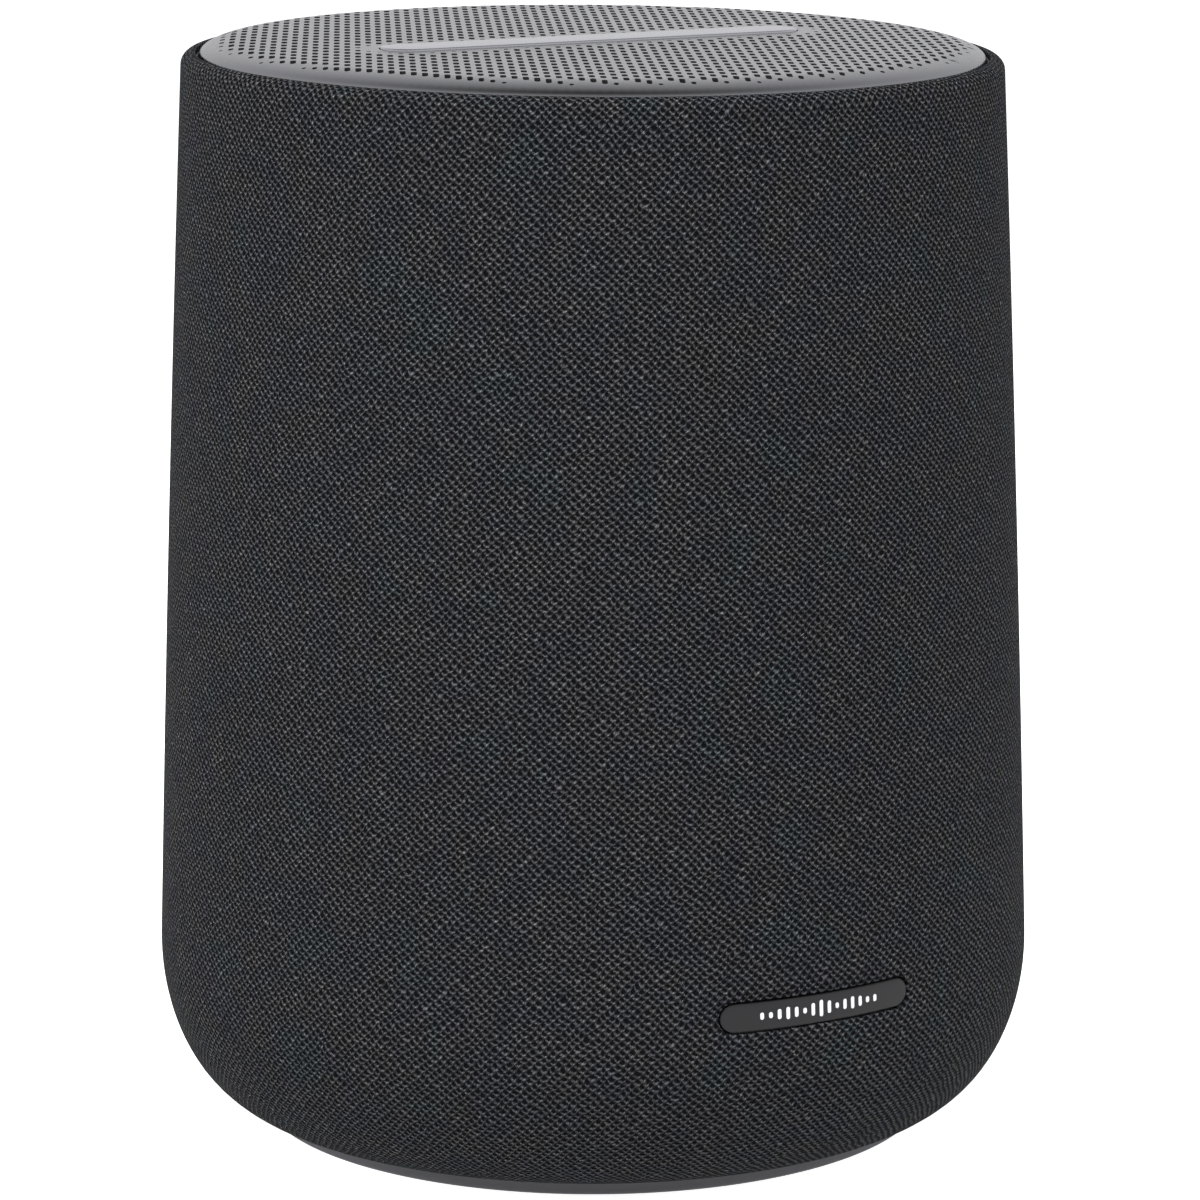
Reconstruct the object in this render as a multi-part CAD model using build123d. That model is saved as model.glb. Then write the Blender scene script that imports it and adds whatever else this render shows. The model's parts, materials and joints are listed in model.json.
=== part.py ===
from build123d import *
import math
import os

# Smart home hub: a tapered tabletop speaker wrapped in fabric, with a perforated metal top.
# Sizes are in millimetres. +Z is up, the front faces -Y, and the origin is the centre of the
# foot ring's underside. Pieces of the top stack are drawn flat, with z = 0 on the top plate,
# and then laid on the top's slope. Speaker drivers are drawn facing +Z and then turned to
# face the front.

# ---------------------------------------------------------------- driving dimensions
TOP_HEIGHT = 186.0          # top plate's centre above the table
TOP_TILT = 0.9              # degrees that the top leans towards the front
BELLY_RADIUS = 75.8         # widest radius of the tower
BELLY_Z = 30.0              # height of the widest point
CURVE_IN = 17.6             # how far in the lower curve's centre lies
CURVE_DOWN = 27.5           # how far down the lower curve reaches
TAPER = 0.0316              # inward lean where the side leaves the lower curve, mm per mm of height
SIDE_ARC = 10200.0          # radius of the side's slight outward curve
SKIRT_Z = 3.1               # lower edge of the fabric
SHOULDER_DROP = 2.0         # fabric's top edge below the plate
SHOULDER_FILLET = 2.2

FABRIC = 0.9                # fabric thickness
SHELL_IN = 0.95             # grille shell's outer face, in from the fabric's outer face
SHELL_WALL = 1.8
PLATE_RADIUS = 66.7
PLATE_SHEET = 1.2
FOOT_RADIUS = 58.6
FOOT_INNER = 46.0
FOOT_HEIGHT = 3.0

STRIP_LENGTH = 80.0
STRIP_WIDTH = 8.8
STRIP_PROUD = 0.35

BADGE_LENGTH = 36.0
BADGE_HEIGHT = 4.8
BADGE_Z = 34.4

REAR_WIDTH = 27.0           # rear control plate
REAR_LOW = 35.0
REAR_HIGH = 93.0
INLET_Z = 45.5
MIC_BUTTON_Z = 66.0
PAIR_BUTTON_Z = 80.0
BUTTON_RADIUS = 3.5
BUTTON_TRAVEL = 0.6

BOX_RADIUS = 64.0           # acoustic enclosure
BOX_WALL = 3.0
BOX_LOW = 54.0
BOX_HIGH = 172.0
BOX_FRONT = -44.0
BOX_REAR = 50.0
BOX_SPLIT = -14.0
BOX_SCREW_SEAT = -23.0
WOOFER_Z = 99.5
TWEETER_Z = 157.6

GAP = 0.15                  # assembly clearance between neighbours
SCREW = 1.5                 # M3 screw radius
SCREW_HEAD = 2.7
SCREW_FIT = 0.08            # radial clearance round a screw
FAR = 200.0                 # beyond every face

TOP = Pos(0, 0, TOP_HEIGHT) * Rot(TOP_TILT, 0, 0)
WOOFER = Pos(0, BOX_FRONT, WOOFER_Z) * Rot(90, 0, 0)
TWEETER = Pos(0, BOX_FRONT, TWEETER_Z) * Rot(90, 0, 0)


# ---------------------------------------------------------------- shape helpers
def disc(radius, low, high, x=0.0, y=0.0):
    """Upright cylinder between two heights."""
    return Pos(x, y, (low + high) / 2) * Cylinder(radius, high - low)


def ring(inner, outer, low, high):
    """Upright tube between two heights."""
    return disc(outer, low, high) - disc(inner, low - 1, high + 1)


def block(x0, x1, y0, y1, z0, z1):
    """Box between two corners."""
    return Pos((x0 + x1) / 2, (y0 + y1) / 2, (z0 + z1) / 2) * Box(x1 - x0, y1 - y0, z1 - z0)


def pill(length, width, low, high):
    """Flat slot shape along X, between two heights."""
    return Pos(0, 0, low) * extrude(SlotOverall(length, width), high - low)


def turned(*outline):
    """Solid of revolution about Z from (radius, height) points."""
    return revolve(Plane.XZ * make_face(Polyline(*outline, close=True)), Axis.Z)


def pin_y(radius, y0, y1, x, z):
    """Cylinder along Y."""
    return Pos(x, (y0 + y1) / 2, z) * Rot(90, 0, 0) * Cylinder(radius, y1 - y0)


def pill_y(width, height, y0, y1, z):
    """Slot shape seen from the front or rear, running along Y between two depths."""
    slot = SlotOverall(width, height) if width > height else Rot(0, 0, 90) * SlotOverall(height, width)
    return Pos(0, y1, z) * Rot(90, 0, 0) * extrude(slot, y1 - y0)


def around(count, radius, start=0.0):
    """Evenly spaced (x, y) places on a circle, starting at an angle in degrees."""
    turns = [math.radians(start + 360.0 * i / count) for i in range(count)]
    return [(radius * math.cos(t), radius * math.sin(t)) for t in turns]


def screw(length, x=0.0, y=0.0, head_low=0.0, spare=0.0):
    """Pan-head screw pointing down, with its head's seat at head_low; spare widens it to a cutter."""
    body = disc(SCREW + spare, head_low - length - spare, head_low, x, y)
    head = disc(SCREW_HEAD + spare, head_low, head_low + 1.8 + spare, x, y)
    return body + head - disc(0.8, head_low + 0.9, head_low + 3, x, y) if spare == 0 else body + head


def group(solids):
    """Several separate solids of one node."""
    return Compound(children=list(solids))


def lower_curve(inset):
    """Half axes of the lower curve, and its angle where the side begins, set in by a margin."""
    across = CURVE_IN - inset
    down = CURVE_DOWN - inset
    return across, down, math.atan(TAPER * down / across)


def side_radius(z, inset=0.0):
    """Radius of the side at a height above the lower curve, set in by a margin."""
    across, down, blend = lower_curve(inset)
    lean = math.atan(TAPER)
    arc = SIDE_ARC - inset
    start_r = BELLY_RADIUS - CURVE_IN + across * math.cos(blend)
    start_z = BELLY_Z + down * math.sin(blend)
    above_centre = z - start_z + arc * math.sin(lean)
    return start_r - arc * math.cos(lean) + math.sqrt(arc ** 2 - above_centre ** 2)


def tower(inset, drop, fillet_radius):
    """Solid inside the tower's outer surface set in by a margin; its top lies drop below the plate."""
    across, down, blend = lower_curve(inset)
    centre = BELLY_RADIUS - CURVE_IN
    low = max(SKIRT_Z, BELLY_Z - down)
    start = math.asin((low - BELLY_Z) / down)
    first = (centre + across * math.cos(start), low)
    last = (centre + across * math.cos(blend), BELLY_Z + down * math.sin(blend))
    halfway = (last[1] + FAR) / 2
    peak = (side_radius(FAR, inset), FAR)
    curve = EllipticalCenterArc(
        (centre, BELLY_Z), across, down,
        start_angle=math.degrees(start), arc_size=math.degrees(blend - start))
    side = ThreePointArc(last, (side_radius(halfway, inset), halfway), peak)
    outline = Polyline(peak, (0, FAR), (0, low), first) + curve + side
    solid = revolve(Plane.XZ * make_face(outline), Axis.Z)
    solid = solid & (TOP * block(-FAR, FAR, -FAR, FAR, -2 * FAR, -drop))
    if fillet_radius > 0:
        solid = fillet(solid.faces().sort_by(Axis.Z)[-1].edges(), fillet_radius)
    return solid


# ---------------------------------------------------------------- outside
def foot_ring():
    body = ring(FOOT_INNER, FOOT_RADIUS, 0, FOOT_HEIGHT)
    return fillet(body.edges().filter_by(GeomType.CIRCLE).group_by(Axis.Z)[0], 0.6)


def base_pan():
    pan = disc(53.8, FOOT_HEIGHT, 6.0) + ring(48.0, 55.5, 5.5, 7.5)
    for x, y in around(4, 50.5, 45):
        pan += disc(5.0, 6.0, 9.0, x, y)
        pan -= screw(14.0, 0, 0, 0, SCREW_FIT).rotate(Axis.X, 180).moved(Pos(x, y, 5.0))
    for x, y in PSU_POSTS:
        pan += disc(3.2, 6.0, 14.0, x, y)
        pan -= disc(SCREW + SCREW_FIT, 7.0, 15.0, x, y)
    return pan


def base_screws():
    return group(screw(14.0).rotate(Axis.X, 180).moved(Pos(x, y, 5.0)) for x, y in around(4, 50.5, 45))


def fabric_sleeve():
    cloth = tower(0, SHOULDER_DROP, SHOULDER_FILLET)
    cloth -= tower(FABRIC, SHOULDER_DROP + FABRIC, SHOULDER_FILLET - FABRIC)
    cloth -= TOP * disc(PLATE_RADIUS + 0.6, -10, 10)
    cloth -= disc(59.0, 0, 8)
    cloth -= pill_y(BADGE_LENGTH + 0.9, BADGE_HEIGHT + 0.9, -FAR, 0, BADGE_Z)
    cloth -= pill_y(REAR_WIDTH + 2 * GAP, REAR_HIGH - REAR_LOW + 2 * GAP, 0, FAR, REAR_MID)
    return cloth


def grille_shell():
    shell = tower(SHELL_IN, SHOULDER_DROP + SHELL_IN, SHOULDER_FILLET - SHELL_IN)
    shell -= tower(SHELL_IN + SHELL_WALL, SHOULDER_DROP + SHELL_IN + SHELL_WALL, 0)
    shell -= TOP * disc(PLATE_RADIUS + 0.3, -10, 10)
    shell -= disc(54.0, 0, 8)
    shell -= pill_y(BADGE_LENGTH + 0.4, BADGE_HEIGHT + 0.4, -FAR, 0, BADGE_Z)
    shell -= pill_y(REAR_WIDTH + 2 * GAP, REAR_HIGH - REAR_LOW + 2 * GAP, 0, FAR, REAR_MID)
    slots = []
    for low, high in ((48.0, 84.0), (92.0, 128.0), (136.0, 172.0)):
        for i in range(24):
            angle = 15.0 * i
            beside_rear_plate = abs(angle - 180.0) < 20.0 and low < REAR_HIGH
            if not beside_rear_plate:
                slots.append(Rot(0, 0, angle) * block(-3.0, 3.0, -FAR / 2, -60, low, high))
    return shell - slots


def badge_plate():
    slab = tower(0.15, SHOULDER_DROP, 0) - tower(2.0, SHOULDER_DROP, 0)
    return slab & pill_y(BADGE_LENGTH, BADGE_HEIGHT, -FAR, 0, BADGE_Z)


def badge_bars():
    skin = tower(0.03, SHOULDER_DROP, 0) - tower(0.15, SHOULDER_DROP, 0)
    bars = []
    for i in range(-4, 5):
        half = 0.45 + 0.85 * abs(math.cos(0.9 * i)) * (1 - abs(i) / 8)
        bars.append(skin & block(2.2 * i - 0.4, 2.2 * i + 0.4, -FAR, 0, BADGE_Z - half, BADGE_Z + half))
    return group(bars)


# ---------------------------------------------------------------- top stack
def top_grille_plate():
    flat = PLATE_RADIUS - 7.2
    roll = 2.5
    skirt = 4.0
    inner = PLATE_RADIUS - PLATE_SHEET
    outside = EllipticalCenterArc((flat, -roll), PLATE_RADIUS - flat, roll, start_angle=0, arc_size=90)
    inside = EllipticalCenterArc(
        (flat, -roll - 0.4), inner - flat, roll + 0.4 - PLATE_SHEET, start_angle=0, arc_size=90)
    outline = outside + inside
    outline += Polyline((flat, 0), (0, 0), (0, -PLATE_SHEET), (flat, -PLATE_SHEET))
    outline += Polyline((PLATE_RADIUS, -roll), (PLATE_RADIUS, -skirt), (inner, -skirt), (inner, -roll - 0.4))
    plate = revolve(Plane.XZ * make_face(outline), Axis.Z)
    return TOP * (plate - pill(STRIP_LENGTH + 0.5, STRIP_WIDTH + 0.5, -5, 5))


def top_trim_ring():
    return TOP * ring(64.4, 66.9, -4.9, -4.1)


def touch_strip():
    bar = pill(STRIP_LENGTH, STRIP_WIDTH, -1.6, STRIP_PROUD)
    return TOP * fillet(bar.faces().sort_by(Axis.Z)[-1].edges(), 0.3)


def dust_mesh():
    return TOP * (disc(58.0, -1.7, -1.3) - pill(STRIP_LENGTH + 2, STRIP_WIDTH + 2, -5, 5))


def light_guide():
    return TOP * pill(80.0, 5.0, -3.4, -1.7)


def status_leds():
    return group(TOP * block(x - 1.0, x + 1.0, -0.8, 0.8, -4.4, -3.6) for x in range(-35, 36, 10))


def touch_board():
    return TOP * block(-43, 43, -6, 6, -5.6, -4.4)


def top_chassis():
    floor_low, floor_high = -10.5, -8.5
    tray = disc(66.2, floor_low, floor_high) + ring(64.2, 66.2, floor_high, -5.0)
    for x in (-36.0, 36.0):
        tray += disc(3.0, floor_high, -5.65, x, 0)
    for x, y in around(4, 50.0, 45):
        tray += disc(2.5, floor_high, -8.0, x, y)
    for x, y in around(6, 26.0, 0):
        tray -= disc(10.5, -FAR, 0, x, y)
    tray = TOP * tray
    for x, y in TOP_SCREWS:
        tray += disc(4.0, BOX_HIGH + 0.05, TOP_SCREW_SEAT, x, y)
        tray -= disc(SCREW + SCREW_FIT, BOX_HIGH - 1, TOP_HEIGHT, x, y)
    return tray - block(-7, 7, 55.3, 57.3, BOX_HIGH, TOP_HEIGHT)


def top_screws():
    return group(screw(12.0, x, y, TOP_SCREW_SEAT) for x, y in TOP_SCREWS)


def microphone_board():
    return TOP * ring(46.0, 53.4, -7.9, -6.9)


def microphones():
    return group(TOP * (Pos(x, y, 0) * block(-1.75, 1.75, -1.3, 1.3, -6.9, -5.8)
                        - disc(0.4, -6.3, 0, x, y)) for x, y in around(4, 50.0, 45))


# ---------------------------------------------------------------- rear control plate
def rear_plate():
    face = tower(0, SHOULDER_DROP, 0) & pill_y(REAR_WIDTH, REAR_HIGH - REAR_LOW, 69.5, FAR, REAR_MID)
    face = face - pill_y(19.0, 11.4, 0, FAR, INLET_Z)
    for z in (MIC_BUTTON_Z, PAIR_BUTTON_Z):
        face -= pin_y(BUTTON_RADIUS + 0.2, 0, FAR, 0, z)
    for x in (-9.0, 9.0):
        face += pin_y(2.0, 63.6, 69.5, x, 73.0)
    return face


def push_button(z):
    proud = side_radius(z) + 0.5
    key = pin_y(BUTTON_RADIUS, 68.0, proud, 0, z) + pin_y(4.3, 68.0, 69.3, 0, z)
    return fillet(key.faces().sort_by(Axis.Y)[-1].edges(), 0.4)


def control_board():
    return block(-11, 11, 62.0, 63.6, 58.0, 90.0)


def tact_switches():
    switches = []
    for z in (MIC_BUTTON_Z, PAIR_BUTTON_Z):
        switches.append(block(-3, 3, 63.6, 66.4, z - 3, z + 3) + pin_y(1.7, 66.4, 67.2, 0, z))
    return group(switches)


def inlet_housing():
    shell = block(-10.5, 10.5, 58.0, 69.3, INLET_Z - 6.6, INLET_Z + 6.6)
    shell += pill_y(18.6, 11.0, 69.0, 73.9, INLET_Z)
    shell -= pill_y(15.6, 8.3, 61.5, FAR, INLET_Z)
    for x in (-4.3, 4.3):
        shell -= pin_y(1.2, 50, 70, x, INLET_Z)
    return shell


def inlet_pins():
    return group(pin_y(1.2, 54.0, 72.0, x, INLET_Z) for x in (-4.3, 4.3))


# ---------------------------------------------------------------- acoustic enclosure
def box_section(inset, low, high):
    """Enclosure's cross-section, a circle flattened at the front and rear, set in by a margin."""
    front = BOX_FRONT + inset
    rear = BOX_REAR - inset
    return disc(BOX_RADIUS - inset, low, high) & block(-FAR, FAR, front, rear, low, high)


def box_screw_cutter(x, z, spare):
    body = screw(18.0, 0, 0, 0, spare)
    return Pos(x, BOX_SCREW_SEAT, z) * Rot(90, 0, 0) * body


def whole_enclosure():
    box = box_section(0, BOX_LOW, BOX_HIGH) - box_section(BOX_WALL, BOX_LOW + BOX_WALL, BOX_HIGH - BOX_WALL)
    lugs = []
    for x, z in BOX_SCREWS:
        lugs.append(pin_y(4.6, BOX_FRONT, 0.0, x, z) & box_section(0.5, BOX_LOW, BOX_HIGH))
    for x, z in DRIVER_SCREWS:
        lugs.append(pin_y(3.0, BOX_FRONT + 1, BOX_FRONT + 9, x, z))
    for x, y in TOP_SCREWS:
        lugs.append(disc(4.0, BOX_HIGH - 11, BOX_HIGH - 1, x, y))
    box = box + lugs
    for x, z in BOX_SCREWS:
        box -= box_screw_cutter(x, z, SCREW_FIT)
        box -= pin_y(SCREW_HEAD + 0.2, -FAR, BOX_SCREW_SEAT, x, z)
    for x, z in DRIVER_SCREWS:
        box -= pin_y(SCREW + SCREW_FIT, BOX_FRONT - 1, BOX_FRONT + 8, x, z)
    for x, y in TOP_SCREWS:
        box -= disc(SCREW + SCREW_FIT, BOX_HIGH - 7, BOX_HIGH + 1, x, y)
    for x, y in STANDOFFS:
        box -= disc(SCREW + SCREW_FIT, BOX_LOW - 1, BOX_LOW + 2.6, x, y)
    box -= pin_y(34.6, BOX_FRONT - 1, BOX_FRONT + BOX_WALL + 1, 0, WOOFER_Z)
    box -= pin_y(11.3, BOX_FRONT - 1, BOX_FRONT + BOX_WALL + 1, 0, TWEETER_Z)
    box -= disc(10.05, BOX_HIGH - BOX_WALL - 1, BOX_HIGH + 1, *PORT_AT)
    for x, z in MAIN_POSTS:
        box += pin_y(3.0, BOX_REAR, 54.5, x, z)
        box -= pin_y(SCREW + SCREW_FIT, BOX_REAR - 2, 55, x, z)
    return box


def enclosure_gasket():
    band = box_section(0.4, BOX_LOW + 0.4, BOX_HIGH - 0.4)
    band -= box_section(BOX_WALL - 0.4, BOX_LOW + BOX_WALL - 0.4, BOX_HIGH - BOX_WALL + 0.4)
    return band & block(-FAR, FAR, BOX_SPLIT - 0.5, BOX_SPLIT + 0.5, 0, FAR)


def enclosure_screws():
    return group(box_screw_cutter(x, z, 0) for x, z in BOX_SCREWS)


def port_tube():
    x, y = PORT_AT
    tube = disc(10.0, BOX_HIGH - 60, BOX_HIGH, x, y) + disc(12.0, BOX_HIGH, BOX_HIGH + 1.4, x, y)
    return tube - disc(8.2, 0, FAR, x, y)


def standoffs():
    posts = []
    for x, y in STANDOFFS:
        post = disc(5.0, 9.1, BOX_LOW, x, y) + disc(SCREW, BOX_LOW, BOX_LOW + 2.4, x, y)
        posts.append(post - disc(SCREW + SCREW_FIT, 8, 19.3, x, y))
    return group(posts)


# ---------------------------------------------------------------- woofer, facing +Z
def woofer_basket():
    flange = ring(33.0, 43.5, 1.0, 3.4)
    cone = turned((33.0, 1.0), (34.4, 1.0), (26.5, -22.0), (26.5, -25.9), (24.6, -25.9), (24.6, -22.0))
    shelf = ring(24.0, 28.2, -18.4, -17.3)
    windows = [Rot(0, 0, a) * block(15, 50, -7.5, 7.5, -15, -3) for a in range(0, 360, 60)]
    body = flange + (cone - windows) + shelf
    for x, y in around(4, 40.5, 45):
        body -= disc(SCREW + SCREW_FIT, 0, 10, x, y)
    return WOOFER * body


def woofer_gasket():
    pad = ring(37.3, 43.3, 0, 1.0)
    for x, y in around(4, 40.5, 45):
        pad -= disc(SCREW + SCREW_FIT, -1, 2, x, y)
    return WOOFER * pad


def woofer_screws():
    return group(WOOFER * screw(10.0, x, y, 3.4) for x, y in around(4, 40.5, 45))


def woofer_surround():
    outer = disc(35.6, 3.4, 4.1) - disc(34.2, 3, 5)
    half_roll = Pos(0, 0, 3.4) * (Torus(31.1, 3.5) - Torus(31.1, 2.8)) & block(-50, 50, -50, 50, 3.4, 9)
    lip = ring(27.0, 28.0, 3.4, 4.1)
    return WOOFER * (half_roll + outer + lip)


def woofer_cone():
    return WOOFER * turned((13.2, -13.0), (14.2, -13.0), (28.0, 3.3), (27.0, 3.3))


def woofer_dust_cap():
    return WOOFER * turned((0, -6.4), (4, -6.7), (8, -8.0), (11.0, -10.1), (13.0, -12.4),
                           (12.3, -12.6), (10.6, -10.8), (7.8, -8.7), (4, -7.5), (0, -7.2))


def woofer_coil():
    former = ring(12.5, 12.95, -30.0, -12.9)
    return WOOFER * (former + ring(12.5, 13.5, -30.0, -20.0))


def woofer_spider():
    return WOOFER * turned((13.05, -16.0), (15, -15.4), (17, -17.0), (19, -15.4), (21, -17.0), (23, -16.6),
                           (26.0, -16.6), (26.0, -17.2), (23, -17.2), (21, -17.6), (19, -16.0),
                           (17, -17.6), (15, -16.0), (13.05, -16.6))


def woofer_top_plate():
    return WOOFER * ring(14.2, 26.5, -30.0, -26.0)


def woofer_magnet():
    return WOOFER * ring(16.0, 29.0, -38.5, -30.0)


def woofer_yoke():
    return WOOFER * (disc(27.0, -42.5, -38.5) + disc(11.8, -38.5, -25.0))


# ---------------------------------------------------------------- tweeter, facing +Z
def tweeter_faceplate():
    body = turned((9.6, 0.05), (12.5, 0.05), (12.5, 1.8), (11.6, 2.3), (9.6, 1.5))
    return TWEETER * body


def tweeter_dome():
    rise, base, skin = 3.2, 9.0, 0.35
    radius = (base * base + rise * rise) / (2 * rise)
    centre = 1.2 + rise - radius
    cap = Pos(0, 0, centre) * (Sphere(radius) - Sphere(radius - skin))
    return TWEETER * (cap & disc(base, 1.2, 6))


def tweeter_coil():
    return TWEETER * ring(8.3, 8.7, -3.0, 1.1)


def tweeter_cup():
    return TWEETER * (ring(9.1, 11.1, -11.0, 0) + disc(11.1, -13.0, -11.0))


def tweeter_magnet():
    return TWEETER * disc(7.9, -11.0, -0.6)


# ---------------------------------------------------------------- electronics
def power_board():
    board = block(-40, 40, -26, 26, 14.0, 15.6)
    for x, y in PSU_POSTS:
        board -= disc(SCREW + SCREW_FIT, 10, 20, x, y)
    return board


def power_screws():
    return group(screw(7.0, x, y, 15.6) for x, y in PSU_POSTS)


def transformer():
    core = block(-14, 14, -11, 11, 19.0, 37.0) - block(-8, 8, -12, 12, 22.5, 33.5)
    winding = block(-7.9, 7.9, -14, 14, 22.6, 33.4)
    return core + winding + block(-11, 11, -13, 13, 15.6, 19.0)


def capacitors():
    places = ((26.0, -12.0, 8.0, 24.0), (26.0, 8.0, 8.0, 24.0), (-24.0, -14.0, 5.0, 16.0))
    return group(disc(radius, 15.6, 15.6 + tall, x, y) for x, y, radius, tall in places)


def power_heat_sink():
    plate = block(-30, -28, -6, 22, 15.6, 40.0)
    return plate + [block(-28, -20, y, y + 1.2, 17.6, 40.0) for y in range(-6, 22, 5)]


def main_board():
    board = block(-34, 34, 54.5, 56.1, 98.0, 164.0)
    for x, z in MAIN_POSTS:
        board -= pin_y(SCREW + SCREW_FIT, 50, 60, x, z)
    return board


def main_screws():
    one = screw(5.5, 0, 0, 0)
    return group(Pos(x, 56.1, z) * Rot(-90, 0, 0) * one for x, z in MAIN_POSTS)


def shield_can():
    return block(-26, -4, 56.1, 59.0, 132, 156) - block(-25.6, -4.4, 56.0, 58.6, 132.4, 155.6)


def amplifier_heat_sink():
    plate = block(2, 26, 56.1, 58.1, 106, 146)
    return plate + [block(x, x + 1.2, 58.1, 62.0, 106, 146) for x in range(3, 25, 4)]


def antenna_boards():
    boards = []
    for side in (-1, 1):
        upright = Pos(side * 32, 56.6, 156) * Box(2, 1, 12)
        along = Pos(side * 25, 56.6, 160) * Box(14, 1, 4)
        boards.append(upright + along)
    return group(boards)


def ribbon_cable():
    drop = block(-6, 6, 56.15, 56.45, 158.0, 180.6)
    over = block(-6, 6, 50.0, 56.45, 180.3, 180.6)
    return drop + over


# ---------------------------------------------------------------- places shared by several pieces
REAR_MID = (REAR_LOW + REAR_HIGH) / 2
PSU_POSTS = ((-35.0, -21.0), (35.0, -21.0), (-35.0, 21.0), (35.0, 21.0))
MAIN_POSTS = ((-30.0, 102.0), (30.0, 102.0), (-30.0, 142.0), (30.0, 142.0))
BOX_SCREWS = tuple((x, z) for x in (-57.2, 57.2) for z in (62.0, 113.0, 164.0))
DRIVER_SCREWS = tuple((x, WOOFER_Z + y) for x, y in around(4, 40.5, 45))
TOP_SCREWS = tuple((x, y) for x in (-46.0, 46.0) for y in (-35.0, 35.0))
TOP_SCREW_SEAT = TOP_HEIGHT - 7.8
STANDOFFS = tuple(around(4, 50.5, 45))
PORT_AT = (22.0, 16.0)

enclosure = whole_enclosure()
NODES = {
    "foot_ring": foot_ring(),
    "base_pan": base_pan(),
    "base_screws": base_screws(),
    "standoff_posts": standoffs(),
    "grille_shell": grille_shell(),
    "fabric_sleeve": fabric_sleeve(),
    "badge_plate": badge_plate(),
    "badge_bars": badge_bars(),
    "top_grille_plate": top_grille_plate(),
    "top_trim_ring": top_trim_ring(),
    "touch_strip": touch_strip(),
    "dust_mesh": dust_mesh(),
    "light_guide": light_guide(),
    "status_leds": status_leds(),
    "touch_board": touch_board(),
    "microphone_board": microphone_board(),
    "microphones": microphones(),
    "top_chassis": top_chassis(),
    "top_chassis_screws": top_screws(),
    "rear_control_plate": rear_plate(),
    "microphone_button": push_button(MIC_BUTTON_Z),
    "pairing_button": push_button(PAIR_BUTTON_Z),
    "control_board": control_board(),
    "tact_switches": tact_switches(),
    "mains_inlet_housing": inlet_housing(),
    "mains_inlet_pins": inlet_pins(),
    "enclosure_front": enclosure & block(-FAR, FAR, -FAR, BOX_SPLIT - 0.5, 0, FAR),
    "enclosure_rear": enclosure & block(-FAR, FAR, BOX_SPLIT + 0.5, FAR, 0, FAR),
    "enclosure_gasket": enclosure_gasket(),
    "enclosure_screws": enclosure_screws(),
    "port_tube": port_tube(),
    "woofer_basket": woofer_basket(),
    "woofer_gasket": woofer_gasket(),
    "woofer_screws": woofer_screws(),
    "woofer_surround": woofer_surround(),
    "woofer_cone": woofer_cone(),
    "woofer_dust_cap": woofer_dust_cap(),
    "woofer_voice_coil": woofer_coil(),
    "woofer_spider": woofer_spider(),
    "woofer_top_plate": woofer_top_plate(),
    "woofer_magnet": woofer_magnet(),
    "woofer_yoke": woofer_yoke(),
    "tweeter_faceplate": tweeter_faceplate(),
    "tweeter_dome": tweeter_dome(),
    "tweeter_voice_coil": tweeter_coil(),
    "tweeter_cup": tweeter_cup(),
    "tweeter_magnet": tweeter_magnet(),
    "power_board": power_board(),
    "power_board_screws": power_screws(),
    "power_transformer": transformer(),
    "power_capacitors": capacitors(),
    "power_heat_sink": power_heat_sink(),
    "main_board": main_board(),
    "main_board_screws": main_screws(),
    "shield_can": shield_can(),
    "amplifier_heat_sink": amplifier_heat_sink(),
    "antenna_boards": antenna_boards(),
    "ribbon_cable": ribbon_cable(),
}

os.makedirs("parts", exist_ok=True)
for name, shape in NODES.items():
    export_step(shape, f"parts/{name}.step")
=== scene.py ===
import bisect
import json
import math

import bmesh
import bpy
from mathutils import Matrix, Vector, geometry


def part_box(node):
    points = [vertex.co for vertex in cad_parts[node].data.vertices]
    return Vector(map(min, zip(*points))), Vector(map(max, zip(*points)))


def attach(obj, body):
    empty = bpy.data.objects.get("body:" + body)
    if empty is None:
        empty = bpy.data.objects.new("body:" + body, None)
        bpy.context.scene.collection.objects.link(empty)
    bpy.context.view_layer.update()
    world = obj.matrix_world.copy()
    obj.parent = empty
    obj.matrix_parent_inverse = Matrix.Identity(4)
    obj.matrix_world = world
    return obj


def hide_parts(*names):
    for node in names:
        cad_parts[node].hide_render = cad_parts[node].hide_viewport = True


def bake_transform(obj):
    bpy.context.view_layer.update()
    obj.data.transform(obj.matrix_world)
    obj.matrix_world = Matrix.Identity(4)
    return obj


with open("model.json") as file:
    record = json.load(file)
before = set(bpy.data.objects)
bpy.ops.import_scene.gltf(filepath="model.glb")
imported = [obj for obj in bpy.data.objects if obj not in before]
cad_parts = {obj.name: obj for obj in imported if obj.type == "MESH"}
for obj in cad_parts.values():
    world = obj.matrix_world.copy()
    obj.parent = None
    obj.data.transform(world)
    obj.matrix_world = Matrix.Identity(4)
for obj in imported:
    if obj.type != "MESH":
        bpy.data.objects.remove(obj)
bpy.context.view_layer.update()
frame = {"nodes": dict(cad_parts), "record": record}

# Everything is in metres, in the CAD model's frame: +Z up, the front faces -Y, and the origin
# is the centre of the foot ring's underside.
MM = 0.001
TAU = 2 * math.pi

# ---------------------------------------------------------------- sizes read from the frame
def size_of(node):
    """A node's width, its height, and the height of its middle."""
    low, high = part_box(node)
    return high[0] - low[0], high[2] - low[2], (high[2] + low[2]) / 2


SLEEVE_LOW, SLEEVE_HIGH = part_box("fabric_sleeve")
BELLY_RADIUS = SLEEVE_HIGH[0]
SKIRT_Z = SLEEVE_LOW[2]
PLATE_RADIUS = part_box("top_grille_plate")[1][0]
STRIP_LENGTH = size_of("touch_strip")[0]
BADGE_LENGTH, BADGE_HEIGHT, BADGE_Z = size_of("badge_plate")
REAR_WIDTH, REAR_HEIGHT, REAR_Z = size_of("rear_control_plate")
FOOT_RADIUS, _, FOOT_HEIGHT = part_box("foot_ring")[1]

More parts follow.
